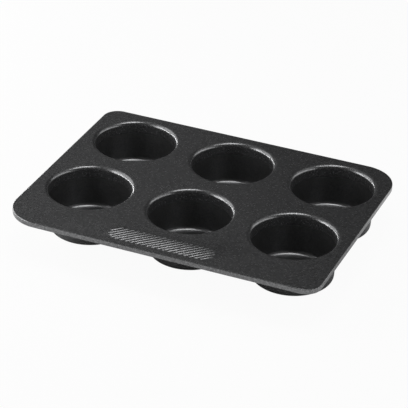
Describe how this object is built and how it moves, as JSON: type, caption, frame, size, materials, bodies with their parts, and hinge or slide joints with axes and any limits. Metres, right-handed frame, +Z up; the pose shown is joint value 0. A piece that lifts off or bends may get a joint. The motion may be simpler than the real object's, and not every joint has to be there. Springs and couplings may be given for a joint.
{
  "type": "muffin pan",
  "caption": "Rectangular dark non-stick muffin pan: drawn round cups seamed into a pressed deck with a ribbed front grip and a folded, wire-stiffened rim.",
  "frame": {"origin": "middle of the plan, on the surface that the cup floors stand on", "axes": "+X to the right along the long side, +Y to the back, away from the grip, +Z up"},
  "size_m": [0.2714, 0.2084, 0.0378],
  "materials": {
    "deck_coating": "charcoal non-stick coating, satin, finely grained",
    "cup_coating": "charcoal non-stick coating, satin, finely grained",
    "wire_steel": "bare drawn wire, hidden in the rim"
  },
  "bodies": {
    "root": {"deck_plate": "deck_coating", "rim_wire": "wire_steel", "cup_front_left": "cup_coating", "cup_front_middle": "cup_coating", "cup_front_right": "cup_coating", "cup_rear_left": "cup_coating", "cup_rear_middle": "cup_coating", "cup_rear_right": "cup_coating"}
  },
  "joints": []
}
